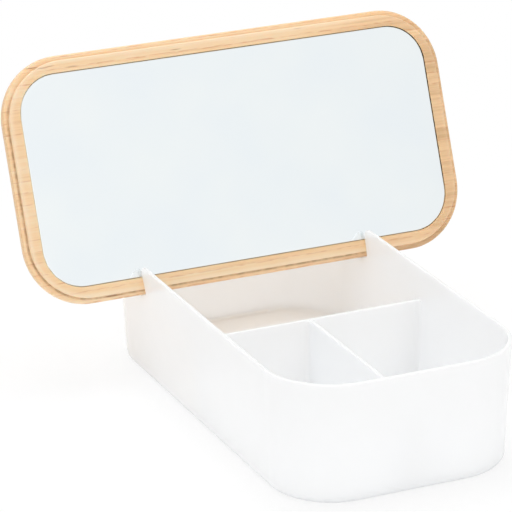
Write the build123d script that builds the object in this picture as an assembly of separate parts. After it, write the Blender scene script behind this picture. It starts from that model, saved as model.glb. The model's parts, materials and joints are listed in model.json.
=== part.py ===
from build123d import *
from math import cos, radians, sin, tan
import os

# Vanity box: a moulded plastic tray with three compartments, and a bamboo lid
# with a mirror set into its underside. The lid covers the tray, or stands
# across it in two slots as a dressing mirror, which is how it is built here.
# Millimetres. +X right, +Y to the back, +Z up. The origin is under the middle
# of the tray, on the surface that it stands on.

# --- Tray, one moulding in glossy white plastic -----------------------------
TRAY_LENGTH = 250.0            # outside of the rim, front to back
TRAY_WIDTH = 131.0             # outside of the rim, side to side
TRAY_HEIGHT = 64.0
RIM_CORNER_RADIUS = 36.5       # outside, at the rim
DRAFT_ANGLE = 2.7              # every wall leans out by this, so the tray leaves its mould
WALL = 2.1
BASE_RADIUS = 4.8              # round between the walls and the base
FLOOR = 2.0
FLOOR_BEVEL = 1.8              # between the walls and the floor, inside
RIM_ROUND = 0.6                # along the rim and the edges of the slots

FOOT_RING_WIDTH = 7.0          # the tray stands on this ring round its base
FOOT_RING_HEIGHT = 0.8

# --- Dividers, moulded with the tray ----------------------------------------
DIVIDER_BELOW_RIM = 16.8
DIVIDER_TOP_THICKNESS = 1.9
DIVIDER_DRAFT = 1.2
DIVIDER_TOP_ROUND = 0.5
CROSS_DIVIDER_FROM_FRONT = 123.3
LENGTH_DIVIDER_X = 0.0
COMPARTMENT_CORNER_RADIUS = 2.6

# --- Lid, a board of laminated bamboo ---------------------------------------
LID_END_SETBACK = 0.0          # closed, from the tray's rim at its front and back
LID_SIDE_SETBACK = 0.75        # closed, from the tray's rim at its sides
LID_THICKNESS = 7.5
LID_CORNER_RADIUS = 33.0
LID_BACK_BEVEL = 1.2
LIP_BEVEL = 0.7
PLATEAU_HEIGHT = 2.6           # the raised middle drops inside the rim
PLATEAU_END_CLEARANCE = 0.6
PLATEAU_SIDE_CLEARANCE = 1.35
PLATEAU_CORNER_EASE = 2.9      # its corners are this much tighter than the rim's
PLATEAU_BEVEL = 0.5

# --- Mirror and the tape that holds it --------------------------------------
MIRROR_INSET = 9.3             # from the lid's outline to the glass
MIRROR_CORNER_RADIUS = 20.7
MIRROR_THICKNESS = 2.0
MIRROR_EDGE_CHAMFER = 0.3
MIRROR_GAP = 0.3               # all round the glass
MIRROR_SUNK = 0.5              # glass below the plateau's face
TAPE_THICKNESS = 0.8
TAPE_WIDTH = 20.0
TAPE_END_MARGIN = 9.0          # from a strip's end to the edge of the glass
TAPE_STRIPS = 4

# --- How the lid stands in the tray -----------------------------------------
LID_TILT = 21.7                # leaning back, from upright
LID_SEAT_FROM_BACK = 62.8      # mirror side of its lower edge, from the rim's back
LID_SEAT_BELOW_RIM = 14.9
SLOT_FRONT_CLEARANCE = 1.6
SLOT_BACK_CLEARANCE = 0.4
SLOT_SEAT_CLEARANCE = 0.2
SLOT_FLOOR_RADIUS = 1.0
SLOT_FRONT_TIP_RADIUS = 3.2    # the pointed fin in front of each slot
SLOT_BACK_TIP_RADIUS = 1.5

NEAR = 0.01                    # two things closer than this touch

# --- Sizes that follow ------------------------------------------------------
DRAFT_SLOPE = tan(radians(DRAFT_ANGLE))
FLOOR_TOP = FOOT_RING_HEIGHT + FLOOR
DIVIDER_TOP = TRAY_HEIGHT - DIVIDER_BELOW_RIM
CROSS_DIVIDER_Y = CROSS_DIVIDER_FROM_FRONT - TRAY_LENGTH / 2

INNER_LENGTH = TRAY_LENGTH - 2 * WALL
INNER_WIDTH = TRAY_WIDTH - 2 * WALL
INNER_CORNER_RADIUS = RIM_CORNER_RADIUS - WALL

LID_LENGTH = TRAY_LENGTH - 2 * LID_END_SETBACK
LID_WIDTH = TRAY_WIDTH - 2 * LID_SIDE_SETBACK
PLATEAU_LENGTH = INNER_LENGTH - 2 * PLATEAU_END_CLEARANCE
PLATEAU_WIDTH = INNER_WIDTH - 2 * PLATEAU_SIDE_CLEARANCE
PLATEAU_CORNER_RADIUS = INNER_CORNER_RADIUS - PLATEAU_CORNER_EASE

MIRROR_LENGTH = LID_LENGTH - 2 * MIRROR_INSET
MIRROR_WIDTH = LID_WIDTH - 2 * MIRROR_INSET
RECESS_DEPTH = MIRROR_SUNK + MIRROR_THICKNESS + TAPE_THICKNESS
TAPE_LENGTH = MIRROR_WIDTH - 2 * TAPE_END_MARGIN
TAPE_PITCH = MIRROR_LENGTH / TAPE_STRIPS

LID_SEAT_Y = TRAY_LENGTH / 2 - LID_SEAT_FROM_BACK
LID_SEAT_Z = TRAY_HEIGHT - LID_SEAT_BELOW_RIM
# The lid is drawn flat, mirror side up, with its lower edge along X through
# the origin. This stands it in the slots.
LID_PLACE = Location((0, LID_SEAT_Y, LID_SEAT_Z)) * Rotation(90 - LID_TILT, 0, 0)


def drafted(length, width, corner_radius, top, bottom):
    """A rounded block between two heights that narrows downwards by the draft."""
    downwards = Plane((0, 0, top), x_dir=(1, 0, 0), z_dir=(0, 0, -1))
    plan = downwards * RectangleRounded(width, length, corner_radius)
    return extrude(plan, amount=top - bottom, taper=DRAFT_ANGLE)


def edges_at(solid, height):
    """The level edges of a solid that lie at one height."""
    return solid.edges().filter_by_position(Axis.Z, height - NEAR, height + NEAR)


def tray_outside():
    """The drafted outside of the tray, rounded into its base and hollowed under it."""
    block = drafted(TRAY_LENGTH, TRAY_WIDTH, RIM_CORNER_RADIUS, TRAY_HEIGHT, 0)
    block = fillet(edges_at(block, 0), BASE_RADIUS)
    inset = TRAY_HEIGHT * DRAFT_SLOPE + BASE_RADIUS + FOOT_RING_WIDTH
    hollow = RectangleRounded(
        TRAY_WIDTH - 2 * inset, TRAY_LENGTH - 2 * inset, RIM_CORNER_RADIUS - inset
    )
    return block - extrude(hollow, amount=FOOT_RING_HEIGHT)


def cavity(top, bottom):
    """The inside of the walls between two heights."""
    drop = (TRAY_HEIGHT - top) * DRAFT_SLOPE
    return drafted(
        INNER_LENGTH - 2 * drop, INNER_WIDTH - 2 * drop, INNER_CORNER_RADIUS - drop, top, bottom
    )


def divider(length, turn, place):
    """A plate with draft on both faces and a rounded top, along X and then turned."""
    half_top = DIVIDER_TOP_THICKNESS / 2
    half_foot = half_top + (DIVIDER_TOP - FLOOR_TOP) * tan(radians(DIVIDER_DRAFT))
    section = Polygon(
        (-half_top, DIVIDER_TOP),
        (half_top, DIVIDER_TOP),
        (half_foot, FLOOR_TOP),
        (-half_foot, FLOOR_TOP),
        align=None,
    )
    section = fillet(section.vertices().sort_by(Axis.Y)[-2:], DIVIDER_TOP_ROUND)
    plate = extrude(Plane.YZ * section, amount=length / 2, both=True)
    return place * Rotation(0, 0, turn) * plate


def inside():
    """All that is open inside the walls: the common top and the three compartments."""
    across = divider(2 * TRAY_WIDTH, 0, Pos(0, CROSS_DIVIDER_Y, 0))
    along = divider(
        2 * TRAY_LENGTH, 90, Pos(LENGTH_DIVIDER_X, CROSS_DIVIDER_Y - TRAY_LENGTH, 0)
    )
    shoulder = DIVIDER_TOP - DIVIDER_TOP_ROUND
    top = cavity(TRAY_HEIGHT, shoulder) - across - along
    pockets = cavity(shoulder, FLOOR_TOP) - across - along
    pockets = fillet(ShapeList(filter(meets_divider, pockets.edges())), COMPARTMENT_CORNER_RADIUS)
    pockets = chamfer(edges_at(pockets, FLOOR_TOP), FLOOR_BEVEL)
    return top, pockets


def meets_divider(edge):
    """True for an upright corner that a divider makes, not where a wall starts its own round."""
    if abs(edge.tangent_at(0.5).Z) < 0.9:
        return False
    point = edge.center()
    near = COMPARTMENT_CORNER_RADIUS + DIVIDER_TOP_THICKNESS
    at_cross = abs(point.Y - CROSS_DIVIDER_Y) < near
    at_length = abs(point.X - LENGTH_DIVIDER_X) < near
    return at_cross or (at_length and point.Y < CROSS_DIVIDER_Y)


def lid_section(up, out):
    """A point of the standing lid's section, as (Y, Z): up along it, out of its mirror side."""
    lean = radians(LID_TILT)
    return (
        LID_SEAT_Y + up * sin(lean) - out * cos(lean),
        LID_SEAT_Z + up * cos(lean) + out * sin(lean),
    )


def slot_cutter():
    """The leaning slot through both sides for the lid's edge, and all above the rim."""
    front = SLOT_FRONT_CLEARANCE
    back = -LID_THICKNESS - SLOT_BACK_CLEARANCE
    lean = radians(LID_TILT)
    # How far up the lid each face of the slot meets the height of the rim.
    front_mouth = (LID_SEAT_BELOW_RIM - front * sin(lean)) / cos(lean)
    back_mouth = (LID_SEAT_BELOW_RIM - back * sin(lean)) / cos(lean)
    rounds = [
        (lid_section(front_mouth, front), SLOT_FRONT_TIP_RADIUS),
        (lid_section(-SLOT_SEAT_CLEARANCE, front), SLOT_FLOOR_RADIUS),
        (lid_section(-SLOT_SEAT_CLEARANCE, back), SLOT_FLOOR_RADIUS),
        (lid_section(back_mouth, back), SLOT_BACK_TIP_RADIUS),
    ]
    profile = Polygon(
        (-TRAY_LENGTH, TRAY_HEIGHT),
        *[corner for corner, radius in rounds],
        (TRAY_LENGTH, TRAY_HEIGHT),
        (TRAY_LENGTH, 2 * TRAY_HEIGHT),
        (-TRAY_LENGTH, 2 * TRAY_HEIGHT),
        align=None,
    )
    for corner, radius in rounds:
        profile = fillet(profile.vertices().sort_by_distance(corner)[0], radius)
    return extrude(Plane.YZ * profile, amount=TRAY_WIDTH, both=True)


def on_rim_or_slot(edge, slots):
    """True for an edge of the rim or of a slot, but not where a slot crosses a wall."""
    point = edge.position_at(0.5)
    across_wall = abs(edge.tangent_at(0.5).X) > 0.9 and abs(point.X) > RIM_CORNER_RADIUS
    return slots.distance_to(point) < NEAR and not across_wall


def make_tray():
    """The tray: outside less inside, slotted, with its rim and slots rounded."""
    top, pockets = inside()
    slots = slot_cutter()
    tray = tray_outside() - top - pockets - slots
    return fillet([edge for edge in tray.edges() if on_rim_or_slot(edge, slots)], RIM_ROUND)


def lid_block(length, width, corner_radius, top, bottom):
    """A rounded board of the lid's kind, its lower long edge on the X axis."""
    inset = (LID_WIDTH - width) / 2
    plan = Pos(0, inset + width / 2, bottom) * RectangleRounded(length, width, corner_radius)
    return extrude(plan, amount=top - bottom)


def make_lid():
    """The board: lip, raised plateau and the recess for the mirror."""
    lip = lid_block(LID_LENGTH, LID_WIDTH, LID_CORNER_RADIUS, -PLATEAU_HEIGHT, -LID_THICKNESS)
    lip = chamfer(edges_at(lip, -LID_THICKNESS), LID_BACK_BEVEL)
    lip = chamfer(edges_at(lip, -PLATEAU_HEIGHT), LIP_BEVEL)
    plateau = lid_block(
        PLATEAU_LENGTH, PLATEAU_WIDTH, PLATEAU_CORNER_RADIUS, 0, -LID_THICKNESS / 2
    )
    plateau = chamfer(edges_at(plateau, 0), PLATEAU_BEVEL)
    recess = lid_block(
        MIRROR_LENGTH + 2 * MIRROR_GAP,
        MIRROR_WIDTH + 2 * MIRROR_GAP,
        MIRROR_CORNER_RADIUS + MIRROR_GAP,
        0,
        -RECESS_DEPTH,
    )
    return lip + plateau - recess


def make_mirror():
    """The glass, with its front arris taken off."""
    front = -MIRROR_SUNK
    glass = lid_block(
        MIRROR_LENGTH, MIRROR_WIDTH, MIRROR_CORNER_RADIUS, front, front - MIRROR_THICKNESS
    )
    return chamfer(edges_at(glass, front), MIRROR_EDGE_CHAMFER)


def make_tapes():
    """The strips of double-sided tape between the glass and the floor of its recess."""
    strips = []
    for number in range(TAPE_STRIPS):
        x = (number - (TAPE_STRIPS - 1) / 2) * TAPE_PITCH
        plan = Pos(x, LID_WIDTH / 2, -RECESS_DEPTH) * Rectangle(TAPE_WIDTH, TAPE_LENGTH)
        strips.append(extrude(plan, amount=TAPE_THICKNESS))
    return strips


def main():
    nodes = {"storage_tray": make_tray()}
    nodes["lid_board"] = LID_PLACE * make_lid()
    nodes["mirror_glass"] = LID_PLACE * make_mirror()
    for number, strip in enumerate(make_tapes(), start=1):
        nodes[f"mirror_tape_{number}"] = LID_PLACE * strip
    os.makedirs("parts", exist_ok=True)
    for name, solid in nodes.items():
        export_step(solid, f"parts/{name}.step")


main()
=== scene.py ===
import json
from math import atan2, cos, radians, sin

import bpy
import numpy as np
from mathutils import Matrix, Vector


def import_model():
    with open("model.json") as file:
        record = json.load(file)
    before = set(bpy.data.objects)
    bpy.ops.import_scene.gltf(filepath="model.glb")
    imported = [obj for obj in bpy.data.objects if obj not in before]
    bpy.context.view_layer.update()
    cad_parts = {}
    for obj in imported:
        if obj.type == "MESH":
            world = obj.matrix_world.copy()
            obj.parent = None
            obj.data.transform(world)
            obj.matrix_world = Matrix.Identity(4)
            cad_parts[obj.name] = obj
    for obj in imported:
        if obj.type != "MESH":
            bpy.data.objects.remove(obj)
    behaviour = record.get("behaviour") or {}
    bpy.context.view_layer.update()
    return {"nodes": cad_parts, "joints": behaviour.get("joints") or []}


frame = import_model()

MM = 0.001

# A vanity box: a white moulded tray, and a bamboo lid with a mirror, which
# stands across the tray in two slots. Metres, in the frame of the solids.

# --- The lid's own axes, from the joint that it lifts along ------------------
LID_UP = np.array(frame["joints"][0]["axis"])
LID_UP = LID_UP / np.linalg.norm(LID_UP)
LID_OUT = np.array((0.0, -LID_UP[2], LID_UP[1]))       # out of the mirror side


def points(name):
    """The vertices of a CAD node as rows of x, y, z."""
    mesh = frame["nodes"][name].data
    flat = np.empty(3 * len(mesh.vertices))
    mesh.vertices.foreach_get("co", flat)
    return flat.reshape(-1, 3)


BOARD = points("lid_board")
LID_FOOT = LID_UP * (BOARD @ LID_UP).min() + LID_OUT * (BOARD @ LID_OUT).max()
LID_TURN = atan2(LID_UP[2], LID_UP[1])                 # from lying flat to how it stands
BOARD_LENGTH = np.ptp(BOARD[:, 0]) / MM
BOARD_WIDTH = np.ptp(BOARD @ LID_UP) / MM
GLASS = points("mirror_glass")
GLASS_LENGTH = np.ptp(GLASS[:, 0]) / MM
GLASS_WIDTH = np.ptp(GLASS @ LID_UP) / MM

# The lid as it was cut, in millimetres.
LIP_WIDTH = 2.7                # from the board's outline to the raised middle
STEP_HEIGHT = 2.6              # of the raised middle above the lip
STEP_CORNER = 31.5             # radius of the raised middle's corners
BOARD_THICKNESS = 7.5
BACK_BEVEL = 1.2               # round the back's edge
RECESS_DEPTH = 3.3             # of the pocket that the mirror lies in
GLASS_GAP = 0.3                # round the glass
GLASS_CORNER = 20.7            # radius of the glass's corners

# The bamboo, in millimetres. A noise has its size along the lid, up it and into
# it, its detail, and how far it moves the tone.
STRIP_WIDTH = 6.1
FIRST_JOINT = 0.5              # from the lower edge to the first glue joint
FIBRES = (40, 0.8, 1.2), 2.0, 0.42
STREAKS = (90, 2.2, 3), 1.0, 0.45
CLOUDS = (15, 5, 5), 2.0, 0.25
STRIP_SHIFT = 900.0            # how far along one strip's grain can lie from the next one's
JOINT_PATCH = 7                # length over which a glue joint comes and goes
END_DOTS = 0.7                 # of the uneven painted shade
PATCHES_PER_MM = 0.3           # of uneven browning
GRAIN_RELIEF = 0.03            # height of the grain
LIGHT_DEPTH = 1.2              # that light soaks in

# The bamboo's tones: three stops from pale to brown, what the noise is counted
# from, how far apart two strips can lie, and how far one end is painted darker:
# painted shade, for the light that falls off along the lid.
BAMBOO_TONES = (0.1, "#FBE1BF"), (0.4, "#F8D4A8"), (0.9, "#D0A97A")
TONE_START = -0.32
STRIP_SPREAD = 0.22
END_SHADE_DRIFT = 0.28
END_GRAIN_TONES = (0.15, "#C9965F"), (0.5, "#EDC796")
BAMBOO_BARE = "#FCF2DE"
BAMBOO_JOINT = "#C4703C"
BAMBOO_MARK = "#8A4A1C"
# Painted highlight on the raised middle's arris.
BAMBOO_ARRIS_HIGHLIGHT = "#FCE4C8"
# Painted shade at the foot of the step, along the back's edge and on the low lip.
BAMBOO_EDGE_SHADE = "#80582A"
# Painted shade down the wall of the mirror's recess.
BAMBOO_RECESS_SHADE = "#4A2A14"

# How much of its own tone each of them lays over the wood, at most.
BARE_SHARE = 0.4
FAINT_JOINT, STRONG_JOINT = 0.1, 0.55
END_GRAIN_SHARE = 0.6
# The arris's share is a painted highlight.
ARRIS_HIGHLIGHT_SHARE = 0.5
# These three are painted shade: at the foot of the step, on the back's edge and on the lip.
ROOT_SHADE_SHARE = 0.5               # the line at the foot of the step
BACK_EDGE_SHADE_SHARE = 0.4
LIP_SHADE_SHARE = 0.3

# Dark marks in the bamboo: along the lid from its middle, up from its lower
# edge, half length, half width, depth of tone.
GRAIN_MARKS = (
    (-105.0, 124.8, 4.5, 0.25, 0.85),
    (-101.0, 123.9, 4.5, 0.3, 0.9),
    (-96.0, 124.3, 3.0, 0.25, 0.6),
    (-84.0, 122.6, 4.0, 0.5, 0.35),
    (-25.5, 123.8, 3.5, 0.3, 0.5),
    (45.0, 125.7, 3.0, 0.3, 0.45),
    (-81.0, 2.0, 6.0, 0.5, 0.6),
)
MARK_OUT = -1.0                # how far out of the lid a mark's middle lies
MARK_HALF_DEPTH = 5.0

# The plastic, in millimetres.
RIPPLE_LENGTH = 35
RIPPLE_RELIEF = 0.05
SMEAR_LENGTH = 12
BASE_BOTTOM = 0.8              # height of the base's underside, inside its foot ring
BASE_TEXTURE = 0.4             # grain of the underside
BASE_RELIEF = 0.03
BASE_DULLER = 0.25             # roughness that the texture adds
WALL_GLOW = 8                  # that light wanders in the walls
WHITE_TONES = (0.2, "#FCFDFE"), (0.8, "#FBFCFD")

# The mirror and its tape, in millimetres.
GLASS_DRIFT = 45               # length over which the glass's tint drifts
GLASS_TINTS = (0.35, "#F3F8F9"), (0.65, "#F0F6F9")
GLASS_EDGE = "#E2E8E4"
TAPE_CELL = 0.5
TAPE_RELIEF = 0.06
TAPE_TONES = (0.0, "#DAD9D2"), (0.8, "#ECEBE6")

# How a CAD node's small bevels and rounds are shaded.
WELD_WITHIN = 0.01             # millimetres
SHARP_ANGLE = 50               # degrees
FACE_WEIGHT = 50

# --- Camera, fitted to the photograph's outlines -----------------------------
PHOTO_PIXELS = 512
FOCAL_PIXELS = 3354.0
SENSOR = 36.0
CAMERA_AT = Vector((-0.66886, -1.44656, 0.68290))
CAMERA_YAW = 23.93             # degrees to the right of +Y
CAMERA_PITCH = -20.66
CAMERA_ROLL = -0.69
AXIS_RIGHT, AXIS_UP = 3.26, 1.42       # pixels from the photograph's middle to the lens axis
FARTHEST = 50                  # metres that the camera sees

# --- Studio ------------------------------------------------------------------
FLOOR_REACH = 6.0              # metres each way
FLOOR_COLOUR = "#FCFCFC"
FLOOR_SHADOW = 0.25            # of its full depth, where the camera looks
SHADOW_REACH = 0.45            # metres from the middle, past which the camera sees white
SKY_LEVEL = 0.79
FAR_SIDE = 0.85                # of that level, on the right
LAMP_WIDTH = 0.8
# The soft boxes: where each stands, what it faces, its power in watts.
LAMPS = {
    "top": ((0.0, 0.15, 1.3), (0, 0, 0.05), 5),
    "rear": ((0.1, 0.75, 1.25), (0, 0.03, 0.05), 1),
    "low front": ((-0.3, -1.3, 0.35), (0, 0, 0.05), 1.3),
}
LIGHT_BOUNCES = 10             # light goes round and round a white tray

SMOOTH = {"interpolation_type": "SMOOTHSTEP"}          # a Map Range that eases in and out


def linear(colour):
    """An sRGB hex colour as linear RGB with alpha."""
    channels = [int(colour[start:start + 2], 16) / 255 for start in (1, 3, 5)]
    return [c / 12.92 if c <= 0.04045 else ((c + 0.055) / 1.055) ** 2.4 for c in channels] + [1.0]


def add(tree, kind, settings=None, sockets=None):
    """Adds a node. Settings are its properties, with "stops" for a ramp's (place, colour)
    pairs, of which a new ramp has two; sockets maps an input to a value, a node or an
    output."""
    node = tree.nodes.new(kind)
    settings = dict(settings or {})
    for number, (place, colour) in enumerate(settings.pop("stops", ())):
        elements = node.color_ramp.elements
        element = elements[number] if number < 2 else elements.new(place)
        element.position = place
        element.color = linear(colour)
    for name, value in settings.items():
        setattr(node, name, value)
    for name, value in (sockets or {}).items():
        if isinstance(value, bpy.types.Node):
            value = value.outputs[0]
        if isinstance(value, bpy.types.NodeSocket):
            tree.links.new(value, node.inputs[name])
        else:
            node.inputs[name].default_value = value
    return node


def material(name):
    """A new material with only its output: (material, its node tree)."""
    made = bpy.data.materials.new(name)
    made.use_nodes = True
    made.node_tree.nodes.clear()
    return made, made.node_tree


def finish_material(tree, shader):
    add(tree, "ShaderNodeOutputMaterial", sockets={"Surface": shader})


# --- Bamboo ------------------------------------------------------------------
# In these functions along, up and out are a point's place on the lid, and step is
# how far it lies outside the raised middle's outline, all in millimetres. The
# painted-light fade is 1, and less towards the darker end, where it weakens the
# painted highlight and painted shade. Uneven is the patchiness of the painted shade.
def lid_millimetres(tree):
    """Object coordinates turned into the lid's own: along it, up it, out of its mirror side."""
    coordinates = add(tree, "ShaderNodeTexCoord")
    return add(
        tree, "ShaderNodeMapping", {"vector_type": "TEXTURE"},
        {"Vector": coordinates.outputs["Object"], "Location": LID_FOOT,
         "Rotation": (LID_TURN, 0, 0), "Scale": (MM, MM, MM)},
    )


def outline_distance(tree, place, length, width, corner):
    """Millimetres outside a rounded rectangle centred on the lid: |p| less the half
    size, its positive part's length plus its largest negative part, less the corner."""
    half = (length / 2 - corner, width / 2 - corner, 1e6)
    centred = add(tree, "ShaderNodeVectorMath", {"operation": "SUBTRACT"},
                  {0: place, 1: (0, BOARD_WIDTH / 2, 0)})
    folded = add(tree, "ShaderNodeVectorMath", {"operation": "ABSOLUTE"}, {0: centred})
    beyond = add(tree, "ShaderNodeVectorMath", {"operation": "SUBTRACT"}, {0: folded, 1: half})
    outside = add(tree, "ShaderNodeVectorMath", {"operation": "MAXIMUM"},
                  {0: beyond, 1: (0, 0, 0)})
    reach = add(tree, "ShaderNodeVectorMath", {"operation": "LENGTH"}, {0: outside})
    parts = add(tree, "ShaderNodeSeparateXYZ", sockets={0: beyond})
    deepest = add(tree, "ShaderNodeMath", {"operation": "MAXIMUM"},
                  {0: parts.outputs[0], 1: parts.outputs[1]})
    inside = add(tree, "ShaderNodeMath", {"operation": "MINIMUM"}, {0: deepest, 1: 0.0})
    both = add(tree, "ShaderNodeMath", {"operation": "ADD"},
               {0: reach.outputs["Value"], 1: inside})
    return add(tree, "ShaderNodeMath", {"operation": "SUBTRACT"}, {0: both, 1: corner})


def strips(tree, along, up, out):
    """The glued strips: (how far across its strip a point is, the strip's three
    chances, and the point's place in the strip's own grain). Each strip's grain is
    shifted far along, so that no two are alike."""
    counted = add(tree, "ShaderNodeMath", {"operation": "SUBTRACT"}, {0: up, 1: FIRST_JOINT})
    counted = add(tree, "ShaderNodeMath", {"operation": "DIVIDE"}, {0: counted, 1: STRIP_WIDTH})
    number = add(tree, "ShaderNodeMath", {"operation": "FLOOR"}, {0: counted})
    across = add(tree, "ShaderNodeMath", {"operation": "FRACT"}, {0: counted})
    luck = add(tree, "ShaderNodeTexWhiteNoise", {"noise_dimensions": "1D"}, {"W": number})
    chances = add(tree, "ShaderNodeSeparateColor", sockets={0: luck.outputs["Color"]})
    shift = add(tree, "ShaderNodeMath", {"operation": "MULTIPLY_ADD"},
                {0: luck.outputs["Value"], 1: STRIP_SHIFT, 2: along})
    grain_place = add(tree, "ShaderNodeCombineXYZ", sockets={0: shift, 1: up, 2: out})
    return across, chances.outputs, grain_place


def grained(tree, place, tone, size, detail, share):
    """A tone moved by a noise that is stretched to a size in millimetres."""
    stretched = add(tree, "ShaderNodeMapping", {"vector_type": "POINT"},
                    {"Vector": place, "Scale": [1 / length for length in size]})
    noise = add(tree, "ShaderNodeTexNoise",
                sockets={"Vector": stretched, "Scale": 1.0, "Detail": detail})
    return add(tree, "ShaderNodeMath", {"operation": "MULTIPLY_ADD"},
               {0: noise.outputs["Fac"], 1: share, 2: tone})


def wood(tree, along, chances, grain_place):
    """(The height of the grain, the wood's colour), from fine fibres, broader
    streaks, cloudy patches, each strip's chance, and painted shade that darkens the
    wood towards one end, where the light falls off."""
    grain = grained(tree, grain_place, TONE_START, *FIBRES)
    grain = grained(tree, grain_place, grain, *STREAKS)
    tone = grained(tree, grain_place, grain, *CLOUDS)
    tone = add(tree, "ShaderNodeMath", {"operation": "MULTIPLY_ADD"},
               {0: chances[1], 1: STRIP_SPREAD, 2: tone})
    # Painted shade: the wood darkens towards the end where along is large.
    drift = add(tree, "ShaderNodeMapRange", SMOOTH,
                {"Value": along, "From Min": 20.0, "From Max": 135.0, "To Max": END_SHADE_DRIFT})
    tone = add(tree, "ShaderNodeMath", {"operation": "ADD"}, {0: tone, 1: drift})
    colour = add(tree, "ShaderNodeValToRGB", {"stops": BAMBOO_TONES}, {"Fac": tone})
    return grain, colour.outputs["Color"]


def glue_joints(tree, across, chances, grain_place):
    """Glue joints about 0.7 mm wide, that come and go, some stronger than others."""
    edge = add(tree, "ShaderNodeMath", {"operation": "PINGPONG"}, {0: across, 1: 0.5})
    line = add(tree, "ShaderNodeMapRange", SMOOTH,
               {"Value": edge, "From Min": 0.02, "From Max": 0.09, "To Min": 1.0, "To Max": 0.0})
    patchy = add(tree, "ShaderNodeTexNoise",
                 sockets={"Vector": grain_place, "Scale": 1 / JOINT_PATCH, "Detail": 1.0})
    patchy = add(tree, "ShaderNodeMapRange", SMOOTH,
                 {"Value": patchy.outputs["Fac"], "From Min": 0.42, "From Max": 0.62})
    share = add(tree, "ShaderNodeMath", {"operation": "MULTIPLY_ADD"},
                {0: chances[2], 1: STRONG_JOINT - FAINT_JOINT, 2: FAINT_JOINT})
    share = add(tree, "ShaderNodeMath", {"operation": "MULTIPLY"}, {0: share, 1: patchy})
    return add(tree, "ShaderNodeMath", {"operation": "MULTIPLY"}, {0: line, 1: share})


def dark_marks(tree, place):
    """The marks of the list, each a soft ellipsoid; the darkest at a point counts."""
    dark = 0.0
    for mark_along, mark_up, half_length, half_width, depth in GRAIN_MARKS:
        offset = add(tree, "ShaderNodeVectorMath", {"operation": "SUBTRACT"},
                     {0: place, 1: (mark_along, mark_up, MARK_OUT)})
        offset = add(tree, "ShaderNodeVectorMath", {"operation": "MULTIPLY"},
                     {0: offset, 1: (1 / half_length, 1 / half_width, 1 / MARK_HALF_DEPTH)})
        reach = add(tree, "ShaderNodeVectorMath", {"operation": "LENGTH"}, {0: offset})
        mark = add(tree, "ShaderNodeMapRange", SMOOTH,
                   {"Value": reach.outputs["Value"], "From Min": 0.3, "From Max": 1.3,
                    "To Min": depth, "To Max": 0.0})
        dark = add(tree, "ShaderNodeMath", {"operation": "MAXIMUM"}, {0: dark, 1: mark})
    return dark


def end_grain(tree, place, step):
    """(How much, the colour) of the end grain on the short outer sides, with the
    fibres' ends as dots. It shows where a face looks along the lid."""
    outer = add(tree, "ShaderNodeMapRange", SMOOTH,
                {"Value": step, "From Min": LIP_WIDTH / 2, "From Max": LIP_WIDTH * 0.8,
                 "To Max": END_GRAIN_SHARE})
    facing = add(tree, "ShaderNodeTexCoord")
    facing = add(tree, "ShaderNodeSeparateXYZ", sockets={0: facing.outputs["Normal"]})
    facing = add(tree, "ShaderNodeMath", {"operation": "ABSOLUTE"}, {0: facing.outputs[0]})
    share = add(tree, "ShaderNodeMapRange", SMOOTH,
                {"Value": facing, "From Min": 0.6, "From Max": 0.95})
    share = add(tree, "ShaderNodeMath", {"operation": "MULTIPLY"}, {0: share, 1: outer})
    dots = add(tree, "ShaderNodeMapping", {"vector_type": "POINT"},
               {"Vector": place, "Scale": (0, 1 / END_DOTS, 1 / END_DOTS)})
    dots = add(tree, "ShaderNodeTexVoronoi", sockets={"Vector": dots, "Scale": 1.0})
    dots = add(tree, "ShaderNodeValToRGB", {"stops": END_GRAIN_TONES},
               {"Fac": dots.outputs["Distance"]})
    return share, dots.outputs["Color"]


def painted_arris_highlight(tree, out, step, painted_light_fade):
    """A painted highlight on the raised middle's arris, paler by the distance from it, and weaker
    towards the darker end.
    """
    arris = add(tree, "ShaderNodeCombineXYZ", sockets={0: step, 1: out, 2: 0.0})
    arris = add(tree, "ShaderNodeVectorMath", {"operation": "LENGTH"}, {0: arris})
    arris = add(tree, "ShaderNodeMapRange", SMOOTH,
                {"Value": arris.outputs["Value"], "From Min": 0.8, "From Max": 2.8,
                 "To Min": ARRIS_HIGHLIGHT_SHARE, "To Max": 0.0})
    return add(tree, "ShaderNodeMath", {"operation": "MULTIPLY"}, {0: arris, 1: painted_light_fade})


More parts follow.
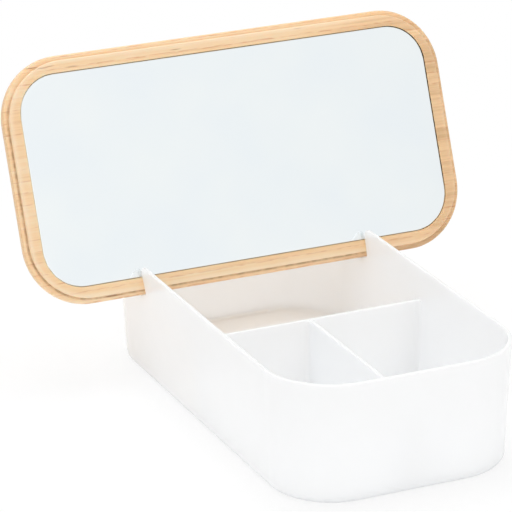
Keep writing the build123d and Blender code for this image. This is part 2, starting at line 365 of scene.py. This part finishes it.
def painted_edge_shade(tree, along, up, out, step, painted_light_fade, uneven):
    """Painted shade: a thin line in the crease at the foot of the step, least along the
    upper edge and at the darker end; along the back's edge; and on the lip along the
    lower edge, towards the darker end, where the step shades it."""
    root = add(tree, "ShaderNodeCombineXYZ", sockets={0: step, 1: out, 2: 0.0})
    root = add(tree, "ShaderNodeVectorMath", {"operation": "DISTANCE"},
               {0: root, 1: (0.3, -STEP_HEIGHT, 0.0)})
    root = add(tree, "ShaderNodeMapRange", SMOOTH,
               {"Value": root.outputs["Value"], "From Min": 0.2, "From Max": 1.1,
                "To Min": ROOT_SHADE_SHARE, "To Max": 0.0})
    upper_edge_fade = add(tree, "ShaderNodeMapRange", SMOOTH,
                     {"Value": up, "From Min": 95.0, "From Max": 122.0,
                      "To Min": 1.0, "To Max": 0.15})
    root = add(tree, "ShaderNodeMath", {"operation": "MULTIPLY"}, {0: root, 1: upper_edge_fade})
    root = add(tree, "ShaderNodeMath", {"operation": "MULTIPLY"}, {0: root, 1: painted_light_fade})

    outermost = add(tree, "ShaderNodeMapRange", SMOOTH,
                    {"Value": step, "From Min": LIP_WIDTH - 1.5, "From Max": LIP_WIDTH - 0.5})
    back_edge = add(tree, "ShaderNodeMapRange", SMOOTH,
                    {"Value": out, "From Min": BACK_BEVEL - BOARD_THICKNESS,
                     "From Max": BACK_BEVEL - BOARD_THICKNESS + 0.8,
                     "To Min": BACK_EDGE_SHADE_SHARE, "To Max": 0.0})
    back_edge = add(tree, "ShaderNodeMath", {"operation": "MULTIPLY"},
                    {0: back_edge, 1: outermost})

    lip = add(tree, "ShaderNodeMapRange", SMOOTH,
              {"Value": step, "From Min": 0.1, "From Max": 0.5, "To Max": LIP_SHADE_SHARE})
    low = add(tree, "ShaderNodeMapRange", SMOOTH,
              {"Value": up, "From Min": 3.0, "From Max": 14.0, "To Min": 1.0, "To Max": 0.0})
    lip = add(tree, "ShaderNodeMath", {"operation": "MULTIPLY"}, {0: lip, 1: low})
    far = add(tree, "ShaderNodeMapRange", SMOOTH,
              {"Value": along, "From Min": 40.0, "From Max": 85.0})
    lip = add(tree, "ShaderNodeMath", {"operation": "MULTIPLY"}, {0: lip, 1: far})

    root_and_back_shade = add(tree, "ShaderNodeMath", {"operation": "MAXIMUM"}, {0: root, 1: back_edge})
    root_and_back_shade = add(tree, "ShaderNodeMath", {"operation": "MULTIPLY"}, {0: root_and_back_shade, 1: uneven})
    return add(tree, "ShaderNodeMath", {"operation": "MAXIMUM"}, {0: root_and_back_shade, 1: lip})


def painted_recess_shade(tree, place, along, up, out, uneven):
    """Uneven painted shade down the wall of the mirror's recess, where the gap lies in
    shade, at the darker end and above its lower corner."""
    recess = outline_distance(tree, place, GLASS_LENGTH + 2 * GLASS_GAP,
                              GLASS_WIDTH + 2 * GLASS_GAP, GLASS_CORNER + GLASS_GAP)
    wall = add(tree, "ShaderNodeMapRange", SMOOTH,
               {"Value": recess, "From Min": 0.02, "From Max": 0.12,
                "To Min": 1.0, "To Max": 0.0})
    # How far from half way down the wall, so that it stops short of both its ends.
    deep = add(tree, "ShaderNodeMath", {"operation": "ADD"}, {0: out, 1: RECESS_DEPTH / 2})
    deep = add(tree, "ShaderNodeMath", {"operation": "ABSOLUTE"}, {0: deep})
    deep = add(tree, "ShaderNodeMapRange", SMOOTH,
               {"Value": deep, "From Min": RECESS_DEPTH / 2 - 0.35,
                "From Max": RECESS_DEPTH / 2 - 0.15, "To Min": 1.0, "To Max": 0.0})
    wall = add(tree, "ShaderNodeMath", {"operation": "MULTIPLY"}, {0: wall, 1: deep})
    shaded_end = add(tree, "ShaderNodeMapRange", SMOOTH,
                    {"Value": along, "From Min": 80.0, "From Max": 108.0})
    wall = add(tree, "ShaderNodeMath", {"operation": "MULTIPLY"}, {0: wall, 1: shaded_end})
    above = add(tree, "ShaderNodeMapRange", SMOOTH,
                {"Value": up, "From Min": 25.0, "From Max": 45.0})
    wall = add(tree, "ShaderNodeMath", {"operation": "MULTIPLY"}, {0: wall, 1: above})
    return add(tree, "ShaderNodeMath", {"operation": "MULTIPLY"}, {0: wall, 1: uneven})


def bamboo():
    """Laminated bamboo, planed and sanded, satin varnished on the mirror's side and
    bare behind, where it is paler and duller: long strips with fine fibres and reddish
    glue joints, a painted highlight on the raised middle's arris, and painted shade at
    the foot of the step, along the outer edges, down the wall of the mirror's recess
    and towards one end."""
    made, tree = material("laminated bamboo, satin varnish, bare back")
    place = lid_millimetres(tree)
    along, up, out = add(tree, "ShaderNodeSeparateXYZ", sockets={0: place}).outputs
    step = outline_distance(tree, place, BOARD_LENGTH - 2 * LIP_WIDTH,
                            BOARD_WIDTH - 2 * LIP_WIDTH, STEP_CORNER)
    across, chances, grain_place = strips(tree, along, up, out)
    grain, colour = wood(tree, along, chances, grain_place)

    behind = add(tree, "ShaderNodeMapRange", SMOOTH,
                 {"Value": out, "From Min": 0.2 - BOARD_THICKNESS,
                  "From Max": BACK_BEVEL - BOARD_THICKNESS, "To Min": 1.0, "To Max": 0.0})
    bare = add(tree, "ShaderNodeMath", {"operation": "MULTIPLY"}, {0: behind, 1: BARE_SHARE})
    # Weakens the painted highlight and painted shade towards the darker end.
    painted_light_fade = add(tree, "ShaderNodeMapRange", SMOOTH,
               {"Value": along, "From Min": 60.0, "From Max": 115.0,
                "To Min": 1.0, "To Max": 0.2})
    # Patches that make the painted shade uneven.
    uneven = add(tree, "ShaderNodeTexNoise",
                 sockets={"Vector": place, "Scale": PATCHES_PER_MM, "Detail": 3.0})
    uneven = add(tree, "ShaderNodeMapRange", SMOOTH,
                 {"Value": uneven.outputs["Fac"], "From Min": 0.35, "From Max": 0.65,
                  "To Min": 0.4, "To Max": 1.0})

    # Each of these lies over the ones before it.
    for share, over in (
        (bare, linear(BAMBOO_BARE)),
        (glue_joints(tree, across, chances, grain_place), linear(BAMBOO_JOINT)),
        (dark_marks(tree, place), linear(BAMBOO_MARK)),
        end_grain(tree, place, step),
        # A painted highlight, then painted shade at the edges and in the mirror's recess.
        (painted_arris_highlight(tree, out, step, painted_light_fade), linear(BAMBOO_ARRIS_HIGHLIGHT)),
        (painted_edge_shade(tree, along, up, out, step, painted_light_fade, uneven), linear(BAMBOO_EDGE_SHADE)),
        (painted_recess_shade(tree, place, along, up, out, uneven), linear(BAMBOO_RECESS_SHADE)),
    ):
        colour = add(tree, "ShaderNodeMix", {"data_type": "RGBA"},
                     {0: share, 6: colour, 7: over}).outputs[2]

    bump = add(tree, "ShaderNodeBump",
               sockets={"Height": grain, "Strength": 0.35, "Distance": GRAIN_RELIEF * MM})
    dull = add(tree, "ShaderNodeMapRange",
               sockets={"Value": behind, "To Min": 0.42, "To Max": 0.6})
    # Light soaks a millimetre into the fibres, so no gap or arris looks hard.
    shader = add(
        tree, "ShaderNodeBsdfPrincipled",
        sockets={"Base Color": colour, "Roughness": dull, "IOR": 1.5, "Subsurface Weight": 0.6,
                 "Subsurface Radius": (1.0, 0.7, 0.5), "Subsurface Scale": LIGHT_DEPTH * MM,
                 "Normal": bump},
    )
    finish_material(tree, shader)
    return made


# --- Plastic, glass and tape -------------------------------------------------
def white_plastic():
    """White polypropylene, injection moulded in a polished mould: bright and softly
    glossy, with the slow ripple of cooling walls and faint smears. The walls are
    translucent, so light evens out in them; the base lets none through, and is matt
    and textured below."""
    made, tree = material("white polypropylene, injection moulded")
    coordinates = add(tree, "ShaderNodeTexCoord")
    place = add(tree, "ShaderNodeMapping", {"vector_type": "TEXTURE"},
                {"Vector": coordinates.outputs["Object"], "Scale": (MM, MM, MM)})
    height = add(tree, "ShaderNodeSeparateXYZ", sockets={0: place}).outputs[2]

    ripple = add(tree, "ShaderNodeTexNoise",
                 sockets={"Vector": place, "Scale": 1 / RIPPLE_LENGTH, "Detail": 1.0})
    texture = add(tree, "ShaderNodeTexNoise",
                  sockets={"Vector": place, "Scale": 1 / BASE_TEXTURE, "Detail": 1.0})
    under = add(tree, "ShaderNodeMapRange", SMOOTH,
                {"Value": height, "From Min": BASE_BOTTOM + 0.1, "From Max": BASE_BOTTOM + 0.3,
                 "To Min": 1.0, "To Max": 0.0})
    smear = add(tree, "ShaderNodeTexNoise",
                sockets={"Vector": place, "Scale": 1 / SMEAR_LENGTH, "Detail": 4.0})
    polish = add(tree, "ShaderNodeMapRange", SMOOTH,
                 {"Value": smear.outputs["Fac"], "From Min": 0.3, "From Max": 0.7,
                  "To Min": 0.20, "To Max": 0.25})
    roughness = add(tree, "ShaderNodeMath", {"operation": "MULTIPLY_ADD"},
                    {0: under, 1: BASE_DULLER, 2: polish})
    glow = add(tree, "ShaderNodeMapRange", SMOOTH,
               {"Value": height, "From Min": 2.0, "From Max": 8.0})
    colour = add(tree, "ShaderNodeValToRGB", {"stops": WHITE_TONES},
                 {"Fac": ripple.outputs["Fac"]})
    waves = add(tree, "ShaderNodeBump",
                sockets={"Height": ripple, "Strength": 0.5, "Distance": RIPPLE_RELIEF * MM})
    spark = add(tree, "ShaderNodeBump",
                sockets={"Height": texture, "Strength": under, "Distance": BASE_RELIEF * MM,
                         "Normal": waves})
    shader = add(
        tree, "ShaderNodeBsdfPrincipled",
        sockets={"Base Color": colour.outputs["Color"], "Roughness": roughness, "IOR": 1.5,
                 "Subsurface Weight": glow, "Subsurface Radius": (1.0, 1.0, 1.0),
                 "Subsurface Scale": WALL_GLOW * MM, "Normal": spark},
    )
    finish_material(tree, shader)
    return made


def silvered_glass():
    """Float glass silvered behind: a clean reflection, faintly green-blue. Its edge
    is ground, so it is pale and dull."""
    made, tree = material("float glass, silvered, ground edge")
    facing = add(tree, "ShaderNodeTexCoord")
    facing = add(tree, "ShaderNodeVectorMath", {"operation": "DOT_PRODUCT"},
                 {0: facing.outputs["Normal"], 1: LID_OUT})
    edge = add(tree, "ShaderNodeMapRange", SMOOTH,
               {"Value": facing.outputs["Value"], "From Min": 0.8, "From Max": 0.95,
                "To Min": 1.0, "To Max": 0.0})
    place = lid_millimetres(tree)
    drift = add(tree, "ShaderNodeTexNoise",
                sockets={"Vector": place, "Scale": 1 / GLASS_DRIFT, "Detail": 2.0})
    tint = add(tree, "ShaderNodeValToRGB", {"stops": GLASS_TINTS}, {"Fac": drift.outputs["Fac"]})
    colour = add(tree, "ShaderNodeMix", {"data_type": "RGBA"},
                 {0: edge, 6: tint.outputs["Color"], 7: linear(GLASS_EDGE)}).outputs[2]
    metal = add(tree, "ShaderNodeMath", {"operation": "SUBTRACT"}, {0: 1.0, 1: edge})
    roughness = add(tree, "ShaderNodeMapRange",
                    sockets={"Value": edge, "To Min": 0.015, "To Max": 0.6})
    shader = add(tree, "ShaderNodeBsdfPrincipled",
                 sockets={"Base Color": colour, "Metallic": metal, "Roughness": roughness})
    finish_material(tree, shader)
    return made


def foam_tape():
    """White acrylic foam tape, slit from a roll: dull, with closed cells."""
    made, tree = material("white foam tape")
    place = lid_millimetres(tree)
    cells = add(tree, "ShaderNodeTexVoronoi", sockets={"Vector": place, "Scale": 1 / TAPE_CELL})
    colour = add(tree, "ShaderNodeValToRGB", {"stops": TAPE_TONES},
                 {"Fac": cells.outputs["Distance"]})
    bump = add(tree, "ShaderNodeBump",
               sockets={"Height": cells.outputs["Distance"], "Strength": 0.6,
                        "Distance": TAPE_RELIEF * MM})
    shader = add(tree, "ShaderNodeBsdfPrincipled",
                 sockets={"Base Color": colour.outputs["Color"], "Roughness": 0.8,
                          "Normal": bump})
    finish_material(tree, shader)
    return made


def dress(name, made):
    """Gives a CAD node its material, and shades its small bevels and rounds as smooth."""
    node = frame["nodes"][name]
    mesh = node.data
    mesh.polygons.foreach_set("use_smooth", np.ones(len(mesh.polygons), bool))
    mesh.materials.clear()
    mesh.materials.append(made)
    weld = node.modifiers.new("weld", "WELD")
    weld.merge_threshold = WELD_WITHIN * MM
    split = node.modifiers.new("sharp edges", "EDGE_SPLIT")
    split.split_angle = radians(SHARP_ANGLE)
    split.use_edge_sharp = False
    even = node.modifiers.new("even normals", "WEIGHTED_NORMAL")
    even.mode = "FACE_AREA"
    even.weight = FACE_WEIGHT


def dress_all():
    dress("storage_tray", white_plastic())
    dress("lid_board", bamboo())
    dress("mirror_glass", silvered_glass())
    tape = foam_tape()
    for name in frame["nodes"]:
        if name.startswith("mirror_tape"):
            dress(name, tape)


# --- Studio ------------------------------------------------------------------
def floor():
    """A plain white floor: a flat square at the height that the tray stands on. The
    camera sees it partly as its lit self, with the shadow on it, and partly as plain
    white, and only as plain white further out."""
    side = np.array(((-1, -1, 0), (1, -1, 0), (1, 1, 0), (-1, 1, 0))) * FLOOR_REACH
    mesh = bpy.data.meshes.new("floor")
    mesh.from_pydata(side.tolist(), [], [(0, 1, 2, 3)])
    piece = bpy.data.objects.new("floor", mesh)
    bpy.context.scene.collection.objects.link(piece)
    made, tree = material("matt white paper")
    paper = add(tree, "ShaderNodeBsdfDiffuse", sockets={"Color": linear(FLOOR_COLOUR)})
    plain = add(tree, "ShaderNodeEmission", sockets={"Strength": 1.0})
    place = add(tree, "ShaderNodeTexCoord")
    reach = add(tree, "ShaderNodeVectorMath", {"operation": "LENGTH"},
                {0: place.outputs["Object"]})
    white = add(tree, "ShaderNodeMapRange", SMOOTH,
                {"Value": reach.outputs["Value"], "From Min": SHADOW_REACH / 3,
                 "From Max": SHADOW_REACH, "To Min": 1 - FLOOR_SHADOW, "To Max": 1.0})
    path = add(tree, "ShaderNodeLightPath")
    share = add(tree, "ShaderNodeMath", {"operation": "MULTIPLY"},
                {0: path.outputs["Is Camera Ray"], 1: white})
    shader = add(tree, "ShaderNodeMixShader", sockets={0: share, 1: paper, 2: plain})
    finish_material(tree, shader)
    mesh.materials.append(made)


def world():
    """Even white light, which falls a little on the right, and plain white where the
    camera looks; a shiny surface mirrors the same."""
    sky = bpy.data.worlds.new("studio")
    bpy.context.scene.world = sky
    sky.use_nodes = True
    tree = sky.node_tree
    tree.nodes.clear()
    path = add(tree, "ShaderNodeLightPath")
    seen = add(tree, "ShaderNodeMath", {"operation": "MAXIMUM"},
               {0: path.outputs["Is Glossy Ray"], 1: path.outputs["Is Transmission Ray"]})
    strength = add(tree, "ShaderNodeMapRange",
                   sockets={"Value": seen, "To Min": SKY_LEVEL, "To Max": 1.0})
    direction = add(tree, "ShaderNodeTexCoord")
    direction = add(tree, "ShaderNodeSeparateXYZ", sockets={0: direction.outputs["Generated"]})
    side = add(tree, "ShaderNodeMapRange",
               sockets={"Value": direction.outputs[0], "From Min": 0.2, "From Max": 0.9,
                        "To Min": 1.0, "To Max": FAR_SIDE})
    strength = add(tree, "ShaderNodeMath", {"operation": "MULTIPLY"}, {0: strength, 1: side})
    strength = add(tree, "ShaderNodeMapRange",
                   sockets={"Value": path.outputs["Is Camera Ray"], "To Min": strength,
                            "To Max": 1.0})
    light = add(tree, "ShaderNodeBackground",
                sockets={"Color": (1, 1, 1, 1), "Strength": strength})
    add(tree, "ShaderNodeOutputWorld", sockets={"Surface": light})


def lamp(name, at, look, power):
    """A square soft box that faces a point."""
    data = bpy.data.lights.new(name, "AREA")
    data.shape = "SQUARE"
    data.size = LAMP_WIDTH
    data.energy = power
    piece = bpy.data.objects.new(name, data)
    piece.location = at
    piece.rotation_euler = (Vector(look) - Vector(at)).to_track_quat("-Z", "Y").to_euler()
    bpy.context.scene.collection.objects.link(piece)


def camera():
    """The photograph's view: yaw, pitch and roll about the lens axis."""
    data = bpy.data.cameras.new("camera")
    data.sensor_width = SENSOR
    data.lens = SENSOR * FOCAL_PIXELS / PHOTO_PIXELS
    data.shift_x = -AXIS_RIGHT / PHOTO_PIXELS
    data.shift_y = -AXIS_UP / PHOTO_PIXELS
    data.clip_end = FARTHEST
    piece = bpy.data.objects.new("camera", data)
    bpy.context.scene.collection.objects.link(piece)
    yaw, pitch, roll = (radians(a) for a in (CAMERA_YAW, CAMERA_PITCH, CAMERA_ROLL))
    ahead = Vector((sin(yaw) * cos(pitch), cos(yaw) * cos(pitch), sin(pitch)))
    level_right = Vector((cos(yaw), -sin(yaw), 0))
    level_up = level_right.cross(ahead)
    right = cos(roll) * level_right + sin(roll) * level_up
    up = cos(roll) * level_up - sin(roll) * level_right
    turn = Matrix((right, up, -ahead)).transposed()
    piece.matrix_world = Matrix.Translation(CAMERA_AT) @ turn.to_4x4()
    bpy.context.scene.camera = piece


dress_all()
floor()
world()
for lamp_name, (lamp_at, lamp_look, lamp_power) in LAMPS.items():
    lamp(lamp_name, lamp_at, lamp_look, lamp_power)
camera()
bpy.context.scene.view_settings.view_transform = "Standard"
bpy.context.scene.cycles.diffuse_bounces = LIGHT_BOUNCES
